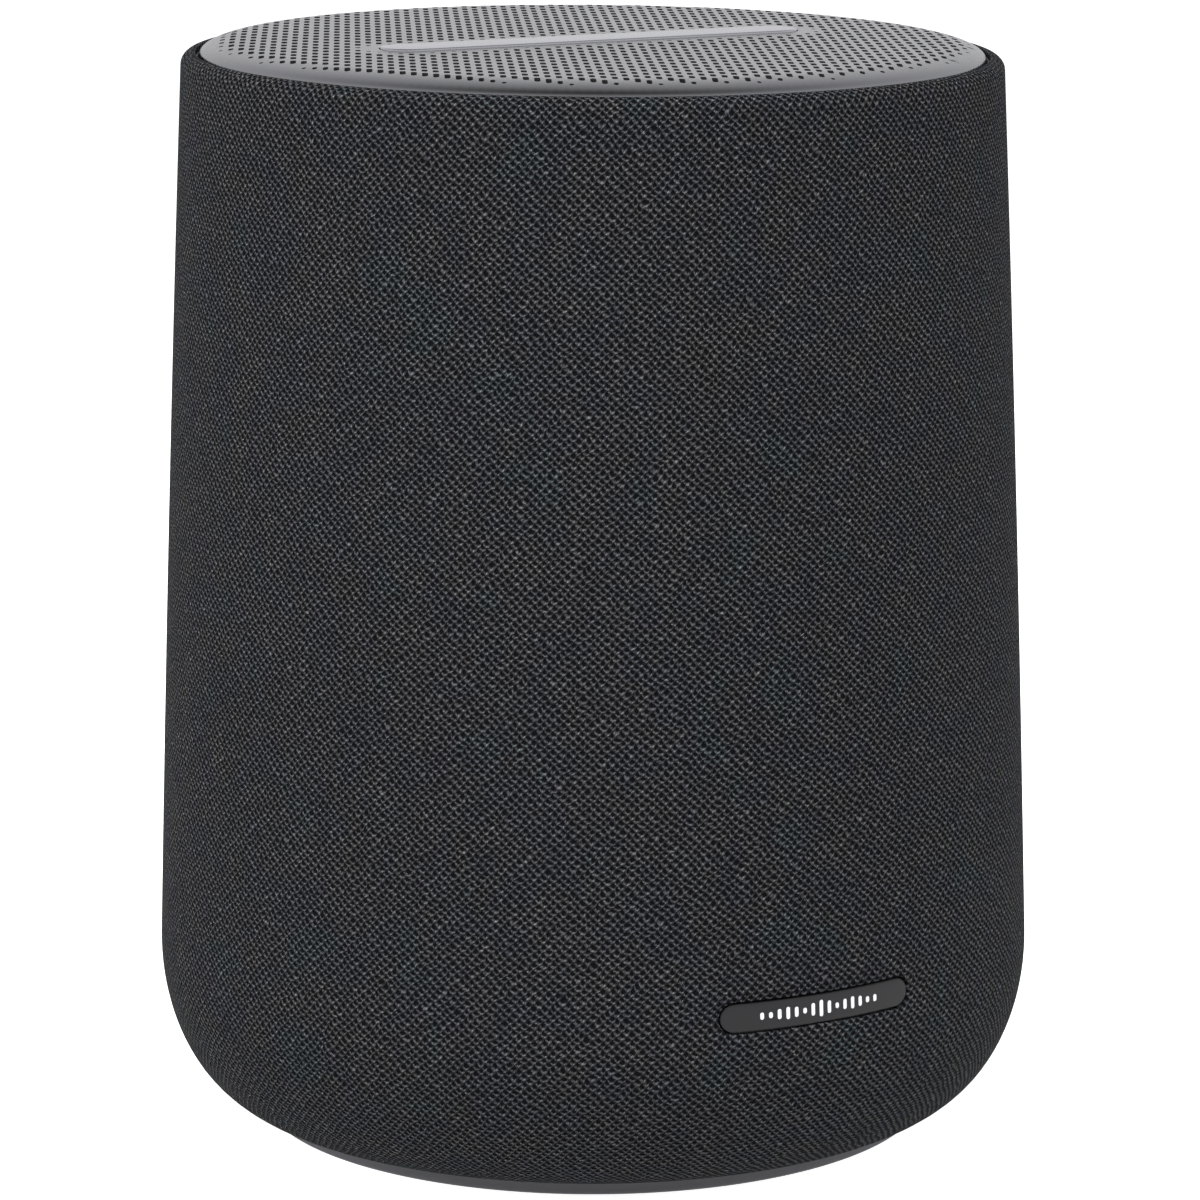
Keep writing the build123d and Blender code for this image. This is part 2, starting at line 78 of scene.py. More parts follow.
# ---------------------------------------------------------------- the tower's outline
BELLY_Z = 30.0 * MM
CURVE_IN = 17.6 * MM
CURVE_DOWN = 27.5 * MM
TAPER = 0.0316                  # inward lean where the side leaves the lower curve
SIDE_ARC = 10200.0 * MM         # radius of the side's slight outward curve
TOP_HEIGHT = 186.0 * MM
TOP_SLOPE = math.tan(math.radians(0.9))
SHOULDER_DROP = 2.0 * MM
SHOULDER_FILLET = 2.2 * MM
TILT_FROM_Z = 40.0 * MM         # the side takes up the top's slope gradually above this height
TUCK_RISE = 0.15 * MM           # the fabric's lower edge, rolled in over the foot
TUCK_IN = 0.3 * MM
TUCK_ROLL = 0.45 * MM
FABRIC_EDGE_GAP = 0.6 * MM      # between the plate's rim and the fabric's folded edge
FOLD = 0.35 * MM                # the upper edge's fold, and how far it reaches down
FOLD_DEPTH = 2.2 * MM
FABRIC = 0.5 * MM

# ---------------------------------------------------------------- the perforated plate
PLATE_FLAT = PLATE_RADIUS - 7.2 * MM
PLATE_ROLL = 2.5 * MM
PLATE_SKIRT = 4.0 * MM
PLATE_SHEET = 1.2 * MM
SEEN_SHEET = 0.8                # share of the sheet's thickness that the visible holes have
PLATE_SIDES = 240
RIM_RINGS = 12                  # rings of points over the rolled rim, from where the holes end
RIM_START = 4.9 * MM
# The perforation is a lattice of short slots, which lie along their column.
SLOT_ROW = (1.07 * MM, -1.79 * MM)
SLOT_COLUMN = (2.07 * MM, 4.12 * MM)
SLOT_START = (0.97 * MM, 0.66 * MM)
SLOT_WIDE = 1.0 * MM
SLOT_LONG = 3.1 * MM
SLOT_POINTS = 6                 # points round each end
SLOT_MARGIN = 2.5 * MM          # plain metal round the touch strip
SLOT_FADE = 2.6 * MM            # the slots grow to full length over this distance
SLOT_REACH = 5.0 * MM           # how far onto the rolled rim they go
STRIP_WIDTH = 8.8 * MM
STRIP_GAP = 0.5 * MM            # how much larger the strip's opening is
# The strip's section, as (inset, height) in mm.
STRIP_EDGE = ((0.0, -1.5), (0.0, 0.05), (0.03, 0.17), (0.1, 0.27), (0.21, 0.33), (0.36, 0.35))

# ---------------------------------------------------------------- foot and badge
FOOT_INNER = 46.0 * MM
FOOT_SOFT = 0.7 * MM            # rounding of the lower outer edge
FOOT_GROOVES = (50.0 * MM, 54.0 * MM)
# A groove's section, as (radius from its middle, height) in mm.
GROOVE = ((-0.5, 0.0), (-0.3, 0.5), (0.3, 0.5), (0.5, 0.0))
# The badge's section, as (inset, proud) in mm; it lies just below the fabric's face.
BADGE_EDGE = ((0.0, -1.4), (0.0, -0.45), (0.04, -0.28), (0.14, -0.18), (0.3, -0.15))
BADGE_POINT_GAP = 0.85 * MM     # between the free points over the badge's face
MARK_REACH = 7                  # bars on each side of the middle one
MARK_PITCH = 1.55 * MM
MARK_WIDE = 0.34 * MM           # half of a bar's width
MARK_SIDES = 16
MARK_PROUD = (-0.35, -0.11)     # a bar's inner and outer faces, in mm

# ---------------------------------------------------------------- the woofer's flexible rings, in mm
WEDGES = 12
WEDGE_STEPS = 8
ROLL_RADIUS, ROLL_OUTER, ROLL_INNER = 31.1, 3.5, 2.8      # the surround's half-roll
SURROUND_LIP = 0.7
SURROUND_OUTSIDE, SURROUND_HELD = 35.6, 34.2
SURROUND_INSIDE, SURROUND_MOVING = 27.0, 28.0
# The spider's corrugation, as (radius, depth).
SPIDER_CRESTS = ((13.05, 0.9), (15.0, 0.3), (17.0, 1.9), (19.0, 0.3), (21.0, 1.9), (23.0, 1.5), (26.0, 1.5))
SPIDER_HELD, SPIDER_MOVING = 23.5, 14.0
SPIDER_HALF_SHEET = 0.28

# ---------------------------------------------------------------- knit
WALES = 299                     # stitch columns round the tower
COURSE = 1.46 * MM              # height of one stitch
COLUMNS = 288                   # the sleeve mesh's points round the tower
ROWS = 120
CELL = TAU / COLUMNS
LEAST_LEVEL = 0.12 * MM         # levels closer than this are left out
BADGE_GAP = 0.7 * MM            # how much larger the sleeve's openings are than what fills them
REAR_GAP = 0.5 * MM
CLEAR_OF_OPENING = 0.7 * MM
EDGE_ROLL = ((0.12, 0.03), (0.35, 0.12), (0.7, 0.2), (1.6, 0.22))     # (depth, shift inward) in mm


# ================================================================ meshes
def new_piece(name, verts, faces, material, body="housing"):
    """A smooth mesh object from points and faces, riding on a body unless that is None."""
    mesh = bpy.data.meshes.new(name)
    mesh.from_pydata([tuple(v) for v in verts], [], faces)
    mesh.validate()
    mesh.update()
    obj = bpy.data.objects.new(name, mesh)
    bpy.context.scene.collection.objects.link(obj)
    for one in material if isinstance(material, (list, tuple)) else (material,):
        mesh.materials.append(one)
    mesh.shade_smooth()
    if body:
        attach(obj, body)
    return obj


def crease(obj, degrees=35.0):
    """Keeps edges sharper than an angle crisp on a smooth-shaded piece."""
    obj.data.set_sharp_from_angle(angle=math.radians(degrees))


def face_outward(obj):
    """Points every face of a closed piece outward."""
    work = bmesh.new()
    work.from_mesh(obj.data)
    bmesh.ops.recalc_face_normals(work, faces=work.faces)
    work.to_mesh(obj.data)
    work.free()


def triangles(loops, free_points):
    """Triangles over flat points: closed loops are kept as edges, free points lie between them.
    Returns all the points, the loops' first, and the triangles as indices into them."""
    points = []
    edges = []
    for loop in loops:
        first = len(points)
        points += loop
        edges += [(first + i, first + (i + 1) % len(loop)) for i in range(len(loop))]
    points += free_points
    flat, _, tris, origins, _, _ = geometry.delaunay_2d_cdt(
        [Vector(p) for p in points], edges, [], 0, 1e-9)
    back = {i: source[0] for i, source in enumerate(origins) if source}
    kept = []
    for tri in tris:
        if all(i in back for i in tri):
            kept.append(tuple(back[i] for i in tri))
    return points, kept


def pill_loop(length, width, per_end, per_side):
    """Points round a slot shape along the first axis, anticlockwise."""
    radius = width / 2
    straight = length / 2 - radius
    loop = []
    for i in range(per_end):
        angle = -math.pi / 2 + math.pi * i / per_end
        loop.append((straight + radius * math.cos(angle), radius * math.sin(angle)))
    for i in range(per_side):
        loop.append((straight - 2 * straight * i / per_side, radius))
    for i in range(per_end):
        angle = math.pi / 2 + math.pi * i / per_end
        loop.append((-straight + radius * math.cos(angle), radius * math.sin(angle)))
    for i in range(per_side):
        loop.append((-straight + 2 * straight * i / per_side, -radius))
    return loop


def pill_distance(x, y, length, width):
    """Distance outside a slot shape along the first axis; it is negative inside."""
    radius = width / 2
    straight = length / 2 - radius
    across = max(0.0, abs(x) - straight)
    return math.hypot(across, y) - radius


def lay_on_top(x, y, z):
    """A point of the flat-drawn top stack, laid on the top's slope."""
    return (x, y, TOP_HEIGHT + z + TOP_SLOPE * y)


class Outline:
    """A curve of (radius, height) points, read by its length from the start."""

    def __init__(self, points):
        self.points = points
        self.lengths = [0.0]
        for (r0, z0), (r1, z1) in zip(points, points[1:]):
            self.lengths.append(self.lengths[-1] + math.hypot(r1 - r0, z1 - z0))
        self.length = self.lengths[-1]

    def at(self, s):
        """Radius and height at a length along the curve."""
        i = min(max(bisect.bisect_right(self.lengths, s), 1), len(self.points) - 1)
        span = self.lengths[i] - self.lengths[i - 1]
        t = (s - self.lengths[i - 1]) / span
        (r0, z0), (r1, z1) = self.points[i - 1], self.points[i]
        return r0 + (r1 - r0) * t, z0 + (z1 - z0) * t

    def normal(self, s):
        """Outward direction (radial, up) at a length along a curve that runs outward and then down,
        or up the outside from the bottom."""
        step = 0.05 * MM
        r0, z0 = self.at(max(0.0, s - step))
        r1, z1 = self.at(min(self.length, s + step))
        size = math.hypot(r1 - r0, z1 - z0)
        return (z1 - z0) / size, -(r1 - r0) / size

    def length_at_height(self, z):
        """Length along the curve where it first reaches a height."""
        for i in range(1, len(self.points)):
            z0, z1 = self.points[i - 1][1], self.points[i][1]
            if z0 <= z <= z1 and z1 > z0:
                span = self.lengths[i] - self.lengths[i - 1]
                return self.lengths[i - 1] + span * (z - z0) / (z1 - z0)
        return self.length


def tower_outline():
    """The fabric's outer face from its tucked lower edge, up the side and over the shoulder."""
    centre = BELLY_RADIUS - CURVE_IN
    blend = math.atan(TAPER * CURVE_DOWN / CURVE_IN)
    start = math.asin((SKIRT_Z + TUCK_RISE - BELLY_Z) / CURVE_DOWN)
    points = []
    tuck_r = centre + CURVE_IN * math.cos(start)
    tuck_z = BELLY_Z + CURVE_DOWN * math.sin(start)
    for i in range(6):
        angle = -math.pi / 2 - 0.2 + (math.pi / 2 - 0.35) * i / 6
        points.append((tuck_r - TUCK_IN + TUCK_ROLL * math.cos(angle),
                       tuck_z + TUCK_ROLL * (1 + math.sin(angle))))
    for i in range(49):
        angle = start + (blend - start) * i / 48
        points.append((centre + CURVE_IN * math.cos(angle), BELLY_Z + CURVE_DOWN * math.sin(angle)))
    low_r, low_z = points[-1]
    top_z = TOP_HEIGHT - SHOULDER_DROP
    side_top = top_z - SHOULDER_FILLET
    lean = math.atan(TAPER)
    steps = 90
    for i in range(1, steps + 1):
        z = low_z + (side_top - low_z) * i / steps
        above = z - low_z + SIDE_ARC * math.sin(lean)
        points.append((low_r - SIDE_ARC * math.cos(lean) + math.sqrt(SIDE_ARC ** 2 - above ** 2), z))
    side_r = points[-1][0]
    for i in range(1, 11):
        angle = math.pi / 2 * i / 10
        points.append((side_r - SHOULDER_FILLET * (1 - math.cos(angle)),
                       side_top + SHOULDER_FILLET * math.sin(angle)))
    edge = PLATE_RADIUS + FABRIC_EDGE_GAP
    for i in range(7):
        angle = math.pi / 2 * i / 6
        points.append((edge + FOLD - FOLD * math.sin(angle), top_z - FOLD * (1 - math.cos(angle))))
    points.append((edge, top_z - FOLD_DEPTH))
    return Outline(points)


TOWER = tower_outline()


def on_tower(turn, s, inset=0.0):
    """Point on the fabric's outer face: turn is the angle from the front towards +X."""
    r, z = TOWER.at(s)
    out, up = TOWER.normal(s)
    r -= out * inset
    z -= up * inset
    x, y = r * math.sin(turn), -r * math.cos(turn)
    share = (z - TILT_FROM_Z) / (TOP_HEIGHT - SHOULDER_DROP - TILT_FROM_Z)
    return (x, y, z + TOP_SLOPE * y * max(0.0, min(1.0, share)))


def turn_of(x, s, behind):
    """Angle from the front at which the face has a given x, on the front or behind."""
    r, _ = TOWER.at(s)
    angle = math.asin(max(-1.0, min(1.0, x / r)))
    return math.pi - angle if behind else angle


class Opening:
    """A pill-shaped opening in the sleeve, drawn flat as it is seen from the front, or from behind
    with its length upright."""

    def __init__(self, behind, length, width, z, counts):
        self.behind = behind
        self.length = length
        self.width = width
        self.z = z
        self.counts = counts

    def flat(self, turn, s):
        """Flat position of a spot on the tower, along the opening's length first."""
        r, height = TOWER.at(s)
        x = r * math.sin(turn)
        return (height - self.z, x) if self.behind else (x, height - self.z)

    def spot(self, a, b):
        """Turn and outline length of a flat position."""
        x, height = (b, a + self.z) if self.behind else (a, b + self.z)
        s = TOWER.length_at_height(height)
        return turn_of(x, s, self.behind), s


def sleeve_levels():
    """Outline lengths of the sleeve's rows: even, with every outline point near the folds kept."""
    marks = [i * TOWER.length / ROWS for i in range(ROWS + 1)]
    marks += [s for s, (r, z) in zip(TOWER.lengths, TOWER.points)
              if z < SKIRT_Z + 1.2 * MM or z > TOP_HEIGHT - SHOULDER_DROP - SHOULDER_FILLET]
    marks.sort()
    levels = [marks[0]]
    for s in marks[1:]:
        if s - levels[-1] > LEAST_LEVEL:
            levels.append(s)
    return levels


class SleeveGrid:
    """The sleeve's spots, each (turn, outline length, inset), and the faces over them."""

    def __init__(self):
        self.levels = sleeve_levels()
        self.spots = [(-math.pi / 2 + CELL * k, s, 0.0) for s in self.levels for k in range(COLUMNS)]
        self.faces = []
        self.skipped = set()

    def corner(self, row, column):
        return row * COLUMNS + column % COLUMNS

    def cut(self, opening):
        """Takes a block of cells out, and fills it again round the opening's loop."""
        middle = TOWER.length_at_height(opening.z)
        half_x = (opening.width if opening.behind else opening.length) / 2
        half_z = (opening.length if opening.behind else opening.width) / 2
        centre_column = round((math.pi if opening.behind else 0.0) / CELL + COLUMNS / 4)
        reach = int(half_x / (BELLY_RADIUS * CELL)) + 3
        low = bisect.bisect_left(self.levels, middle - half_z) - 3
        high = bisect.bisect_left(self.levels, middle + half_z) + 2
        first, last = centre_column - reach, centre_column + reach
        for row in range(low, high):
            for column in range(first, last):
                self.skipped.add((row, column % COLUMNS))
        border = [self.corner(low, c) for c in range(first, last)]
        border += [self.corner(r, last) for r in range(low, high)]
        border += [self.corner(high, c) for c in range(last, first, -1)]
        border += [self.corner(r, first) for r in range(high, low, -1)]

        def flat(i):
            return opening.flat(*self.spots[i][:2])

        inner = []
        for row in range(low + 1, high):
            for column in range(first + 1, last):
                i = self.corner(row, column)
                if pill_distance(*flat(i), opening.length, opening.width) > CLEAR_OF_OPENING:
                    inner.append(i)
        loop = [opening.spot(a, b) for a, b in pill_loop(opening.length, opening.width, *opening.counts)]
        first_new = len(self.spots)
        self.spots += [(turn, s, 0.0) for turn, s in loop]
        ring = list(range(first_new, len(self.spots)))
        ids = border + ring + inner
        _, tris = triangles([[flat(i) for i in border], [flat(i) for i in ring]], [flat(i) for i in inner])
        hole = range(len(border), len(border) + len(loop))
        for tri in tris:
            if not all(i in hole for i in tri):
                self.faces.append(tuple(ids[i] for i in tri))
        self.roll_in(opening, loop, ring)

    def roll_in(self, opening, loop, ring):
        """Rolls an opening's cut edge in round the shell behind it."""
        for depth, shift in EDGE_ROLL:
            start = len(self.spots)
            for turn, s in loop:
                a, b = opening.flat(turn, s)
                pull = 1 - shift * MM / math.hypot(a, b)
                self.spots.append((*opening.spot(a * pull, b * pull), depth * MM))
            here = list(range(start, start + len(loop)))
            for i in range(len(loop)):
                j = (i + 1) % len(loop)
                self.faces.append((ring[i], ring[j], here[j], here[i]))
            ring = here

    def fill(self):
        """Makes the faces of every cell that no opening took out."""
        for row in range(len(self.levels) - 1):
            for column in range(COLUMNS):
                if (row, column) not in self.skipped:
                    self.faces.append((self.corner(row, column), self.corner(row, column + 1),
                                       self.corner(row + 1, column + 1), self.corner(row + 1, column)))


def knit_sleeve(material):
    """The fabric: a fine grid with its edges folded in, opened at the badge and the rear plate."""
    grid = SleeveGrid()
    grid.cut(Opening(False, BADGE_LENGTH + BADGE_GAP, BADGE_HEIGHT + BADGE_GAP, BADGE_Z, (12, 40)))
    grid.cut(Opening(True, REAR_HEIGHT + REAR_GAP, REAR_WIDTH + REAR_GAP, REAR_Z, (48, 40)))
    grid.fill()
    used = sorted({i for face in grid.faces for i in face})
    renumber = {old: new for new, old in enumerate(used)}
    verts = [on_tower(*grid.spots[i]) for i in used]
    faces = [tuple(renumber[i] for i in face) for face in grid.faces]
    sleeve = new_piece("knit_sleeve", verts, faces, material)
    course = sleeve.data.attributes.new("course", "FLOAT", "POINT")
    course.data.foreach_set("value", [grid.spots[i][1] / COURSE for i in used])
    face_outward_open(sleeve)
    thick = sleeve.modifiers.new("cloth", "SOLIDIFY")
    thick.thickness = FABRIC
    thick.offset = -1.0
    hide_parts("fabric_sleeve")
    return sleeve


def face_outward_open(obj):
    """Flips an open sheet if its faces look towards the axis."""
    mesh = obj.data
    score = sum(p.normal[0] * p.center[0] + p.normal[1] * p.center[1] for p in mesh.polygons)
    if score < 0:
        mesh.flip_normals()


def plate_outline():
    """The plate's upper face from its centre, over the rolled rim and down the skirt."""
    points = [(PLATE_FLAT * i / 20, 0.0) for i in range(21)]
    for i in range(1, 25):
        angle = math.pi / 2 * (1 - i / 24)
        points.append((PLATE_FLAT + (PLATE_RADIUS - PLATE_FLAT) * math.cos(angle),
                       -PLATE_ROLL + PLATE_ROLL * math.sin(angle)))
    points.append((PLATE_RADIUS, -PLATE_SKIRT))
    return Outline(points)


PLATE = plate_outline()


def on_plate(a, b, depth=0.0):
    """Point on the plate from flat, unrolled coordinates; depth goes into the sheet."""
    s = math.hypot(a, b)
    if s < 1e-9:
        return lay_on_top(0, 0, -depth)
    r, z = PLATE.at(min(s, PLATE.length))
    fall, lean = PLATE.normal(min(s, PLATE.length))
    out, up = -fall, -lean
    r -= out * depth
    z -= up * depth
    return lay_on_top(r * a / s, r * b / s, z)


def plate_slots():
    """Outlines of the perforation: slots on a lattice, shorter beside the strip and on the rim."""
    rim = PLATE_FLAT + SLOT_REACH
    lean = math.atan2(SLOT_COLUMN[1], SLOT_COLUMN[0])
    along = (math.cos(lean), math.sin(lean))
    reach = 80
    slots = []
    for j in range(-reach, reach + 1):
        for i in range(-reach, reach + 1):
            x = SLOT_START[0] + i * SLOT_ROW[0] + j * SLOT_COLUMN[0]
            y = SLOT_START[1] + i * SLOT_ROW[1] + j * SLOT_COLUMN[1]
            to_rim = rim - math.hypot(x, y)
            to_strip = pill_distance(x, y, STRIP_LENGTH, STRIP_WIDTH) - SLOT_MARGIN
            clear = min(to_rim, to_strip)
            if clear <= 0:
                continue
            grown = min(1.0, clear / SLOT_FADE)
            radius = SLOT_WIDE / 2 * (0.7 + 0.3 * grown)
            half = max(0.0, SLOT_LONG / 2 * grown - radius)
            outline = []
            for end in (1, -1):
                for k in range(SLOT_POINTS):
                    angle = lean + math.pi * ((k + 0.5) / SLOT_POINTS - 0.5) + (0 if end > 0 else math.pi)
                    outline.append((x + end * half * along[0] + radius * math.cos(angle),
                                    y + end * half * along[1] + radius * math.sin(angle)))
            slots.append(outline)
    return slots


def plate_drawing():
    """The plate's flat loops, which are its outer edge, the strip's opening and every slot, and the
    free points over its rolled rim."""
    start = PLATE_FLAT + RIM_START
    rings = [start + (PLATE.length - start) * i / RIM_RINGS for i in range(RIM_RINGS + 1)]

    def circle(s, shift):
        return [(s * math.cos(TAU * (k + shift) / PLATE_SIDES), s * math.sin(TAU * (k + shift) / PLATE_SIDES))
                for k in range(PLATE_SIDES)]

    loops = [circle(rings[-1], 0.0)]
    loops.append(pill_loop(STRIP_LENGTH + STRIP_GAP, STRIP_WIDTH + STRIP_GAP, 18, 60))
    loops += plate_slots()
    free = []
    for n, s in enumerate(rings[:-1]):
        free += circle(s, 0.5 * (n % 2))
    return loops, free


def plate_faces(loops, tris, size):
    """Faces of the plate's top and underside, then the walls of every loop, with the count of the
    first kind. The underside's points follow the top's, size points later."""
    owner = [n for n, loop in enumerate(loops) for _ in loop]
    top = []
    for tri in tris:
        owners = {owner[i] if i < len(owner) else -1 for i in tri}
        inside_hole = len(owners) == 1 and owners.pop() > 0
        if not inside_hole:
            top.append(tri)
    faces = top + [(c + size, b + size, a + size) for a, b, c in top]
    flat_count = len(faces)
    first = 0
    for n, loop in enumerate(loops):
        for k in range(len(loop)):
            i, j = first + k, first + (k + 1) % len(loop)
            if n == 0:
                faces.append((i, i + size, j + size, j))
            else:
                faces.append((i, j, j + size, i + size))
        first += len(loop)
    return faces, flat_count


def set_rolled_normals(plate, points):
    """Gives the top's irregular triangles the rolled sheet's own direction, so the rim shades evenly."""
    directions = []
    for a, b in points:
        s = math.hypot(a, b)
        fall, lean = PLATE.normal(min(s, PLATE.length))
        size_s = max(s, 1e-9)
        tilt = Vector((-fall * a / size_s, -fall * b / size_s, -lean))
        tilt.z -= TOP_SLOPE * tilt.y
        directions.append(tilt.normalized())
    custom = []
    for polygon in plate.data.polygons:
        corners = [plate.data.loops[i].vertex_index for i in polygon.loop_indices]
        on_top = all(vertex < len(points) for vertex in corners)
        custom += [directions[vertex] if on_top else Vector((0, 0, 0)) for vertex in corners]
    plate.data.normals_split_custom_set(custom)


def perforated_plate(metal, dark):
    """The top plate: a rolled sheet with real holes, closed underneath, and near-black hole walls
    that paint the shade inside the holes.
    """
    loops, free = plate_drawing()
    points, tris = triangles(loops, free)
    faces, flat_count = plate_faces(loops, tris, len(points))
    verts = [on_plate(a, b) for a, b in points]
    verts += [on_plate(a, b, PLATE_SHEET * SEEN_SHEET) for a, b in points]
    plate = new_piece("perforated_top_plate", verts, faces, (metal, dark))
    # The slot walls, all but the outer edge's and the strip opening's, take the second material: painted
    # shade inside the holes.
    edge_walls = len(loops[0]) + len(loops[1])
    for polygon in plate.data.polygons[flat_count + edge_walls:]:
        polygon.material_index = 1
    face_outward(plate)
    crease(plate, 40)
    set_rolled_normals(plate, points)
    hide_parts("top_grille_plate")


def wall(faces, low, high, count):
    """Adds the band of faces between two matching rings of points, given their first points."""
    for i in range(count):
        j = (i + 1) % count
        faces.append((low + i, low + j, high + j, high + i))


def cap(first, count, turned=False):
    """One face over a ring of points."""
    return tuple(range(first + count - 1, first - 1, -1)) if turned else tuple(range(first, first + count))


def touch_bar(material):
    """The raised touch strip, with a softly rounded upper edge."""
    verts = []
    for inset, height in STRIP_EDGE:
        loop = pill_loop(STRIP_LENGTH - 2 * inset * MM, STRIP_WIDTH - 2 * inset * MM, 20, 30)
        verts += [lay_on_top(x, y, height * MM) for x, y in loop]
    count = len(loop)
    faces = []
    for level in range(len(STRIP_EDGE) - 1):
        wall(faces, level * count, (level + 1) * count, count)
    faces.append(cap(0, count, turned=True))
    faces.append(cap(len(verts) - count, count))
    piece = new_piece("touch_bar", verts, faces, material)
    face_outward(piece)
    crease(piece, 50)
    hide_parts("touch_strip")


def foot(material):
    """The rubber foot ring, with rounded edges and two fine grooves in its underside."""
    sides = 192
    chamfer = 0.3 * MM
    inner_chamfer = 0.5 * MM
    outline = []
    for i in range(7):
        angle = math.pi / 2 * i / 6
        outline.append((FOOT_RADIUS - FOOT_SOFT + FOOT_SOFT * math.sin(angle),
                        FOOT_SOFT - FOOT_SOFT * math.cos(angle)))
    outline.append((FOOT_RADIUS, FOOT_HEIGHT - chamfer))
    outline.append((FOOT_RADIUS - chamfer, FOOT_HEIGHT))
    outline.append((FOOT_INNER, FOOT_HEIGHT))
    outline.append((FOOT_INNER, inner_chamfer))
    outline.append((FOOT_INNER + inner_chamfer, 0.0))
    for groove in FOOT_GROOVES:
        outline += [(groove + dr * MM, dz * MM) for dr, dz in GROOVE]
    verts = []
    for r, z in outline:
        verts += [(r * math.cos(TAU * k / sides), r * math.sin(TAU * k / sides), z) for k in range(sides)]
    faces = []
    for level in range(len(outline)):
        wall(faces, level * sides, (level + 1) % len(outline) * sides, sides)
    piece = new_piece("rubber_foot_ring", verts, faces, material)
    face_outward(piece)
    crease(piece)
    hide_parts("foot_ring")


def on_badge(x, b, proud):
    """Point on or over the tower's front: b is the height above the badge's middle."""
    s = TOWER.length_at_height(BADGE_Z + b)
    return on_tower(turn_of(x, s, False), s, -proud)


def badge_plate(material):
    """The front badge: a pill-shaped plate with a rounded edge, which follows the tower."""
    flat = []
    for inset, proud in BADGE_EDGE:
        loop = pill_loop(BADGE_LENGTH - 2 * inset * MM, BADGE_HEIGHT - 2 * inset * MM, 14, 44)
        flat += [(x, b, proud * MM) for x, b in loop]
    count = len(loop)
    free = []
    across = int(BADGE_LENGTH / MM)
    inset, proud = BADGE_EDGE[-1]
    for i in range(-across, across + 1):
        for j in (-1, 0, 1):
            x, b = i * BADGE_POINT_GAP, j * BADGE_HEIGHT / 4
            if pill_distance(x, b, BADGE_LENGTH, BADGE_HEIGHT) < -(inset * MM + 0.5 * MM):
                free.append((x, b))
    _, tris = triangles([loop], list(free))
    top = len(flat) - count
    flat += [(x, b, proud * MM) for x, b in free]
    faces = []
    for level in range(len(BADGE_EDGE) - 1):
        wall(faces, level * count, (level + 1) * count, count)
    faces.append(cap(0, count, turned=True))
    faces += [tuple(top + i for i in tri) for tri in tris]
    piece = new_piece("front_badge", [on_badge(*p) for p in flat], faces, material)
    face_outward(piece)
    crease(piece, 50)
    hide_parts("badge_plate")


def badge_marks(material):
    """A generic row of sound-level bars on the badge."""
    verts = []
    faces = []
    for i in range(-MARK_REACH, MARK_REACH + 1):
        half = (0.42 + 0.95 * abs(math.cos(0.75 * i)) * (1 - abs(i) / 11)) * MM
        ring = []
        for k in range(MARK_SIDES):
            angle = TAU * k / MARK_SIDES
            b = (half - MARK_WIDE) * (1 if math.sin(angle) > 0 else -1) + MARK_WIDE * math.sin(angle)
            ring.append((i * MARK_PITCH + MARK_WIDE * math.cos(angle), b))
        first = len(verts)
        for proud in MARK_PROUD:
            verts += [on_badge(x, b, proud * MM) for x, b in ring]
        wall(faces, first, first + MARK_SIDES, MARK_SIDES)
        faces.append(cap(first + MARK_SIDES, MARK_SIDES))
        faces.append(cap(first, MARK_SIDES, turned=True))
    marks = new_piece("badge_level_marks", verts, faces, material)
    face_outward(marks)
    crease(marks)
    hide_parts("badge_bars")


def flexible_ring(name, node, section, held, moving, material):
    """A ring round the woofer's cone, made of closed wedges that meet face to face.
    The section is (radius, depth) in mm behind the node's front; the held and moving radii go only
    into points that are not kept."""
    half = math.pi / WEDGES
    low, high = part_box(node)
    middle_x, middle_z = (low[0] + high[0]) / 2, (low[2] + high[2]) / 2

    def place(radius, depth, angle):
        return (middle_x + radius * MM * math.sin(angle), low[1] + depth * MM,
                middle_z + radius * MM * math.cos(angle))

    count = len(section)
    for wedge in range(WEDGES):
        turn = TAU * wedge / WEDGES
        verts = []
        for k in range(WEDGE_STEPS + 1):
            angle = turn - half + 2 * half * k / WEDGE_STEPS
            verts += [place(r, depth, angle) for r, depth in section]
        faces = []
        for k in range(WEDGE_STEPS):
            wall(faces, k * count, (k + 1) * count, count)
        faces.append(cap(0, count, turned=True))
        faces.append(cap(WEDGE_STEPS * count, count))
        piece = new_piece(f"{name}_{wedge + 1:02d}", verts, faces, material, body=None)
        face_outward(piece)
        crease(piece, 50)
        place(held * math.cos(half), 0.0, turn)
        place(moving, 0.0, turn)
        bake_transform(piece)
        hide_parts(node)


def cone_surround(material):
    """The half-roll round the cone, with its outer flange and its inner lip."""
    bottom = ROLL_OUTER
    lip = bottom - SURROUND_LIP
    section = [(SURROUND_OUTSIDE, bottom), (SURROUND_OUTSIDE, lip)]
    first = math.asin(SURROUND_LIP / ROLL_OUTER)
    for i in range(17):
        angle = first + (math.pi - 2 * first) * i / 16
        section.append((ROLL_RADIUS + ROLL_OUTER * math.cos(angle), bottom - ROLL_OUTER * math.sin(angle)))
    section += [(SURROUND_INSIDE, lip), (SURROUND_INSIDE, bottom)]
    for i in range(17):
        angle = math.pi * (1 - i / 16)
        section.append((ROLL_RADIUS + ROLL_INNER * math.cos(angle), bottom - ROLL_INNER * math.sin(angle)))
    flexible_ring("cone_surround", "woofer_surround", section, SURROUND_HELD, SURROUND_MOVING,
                  material)


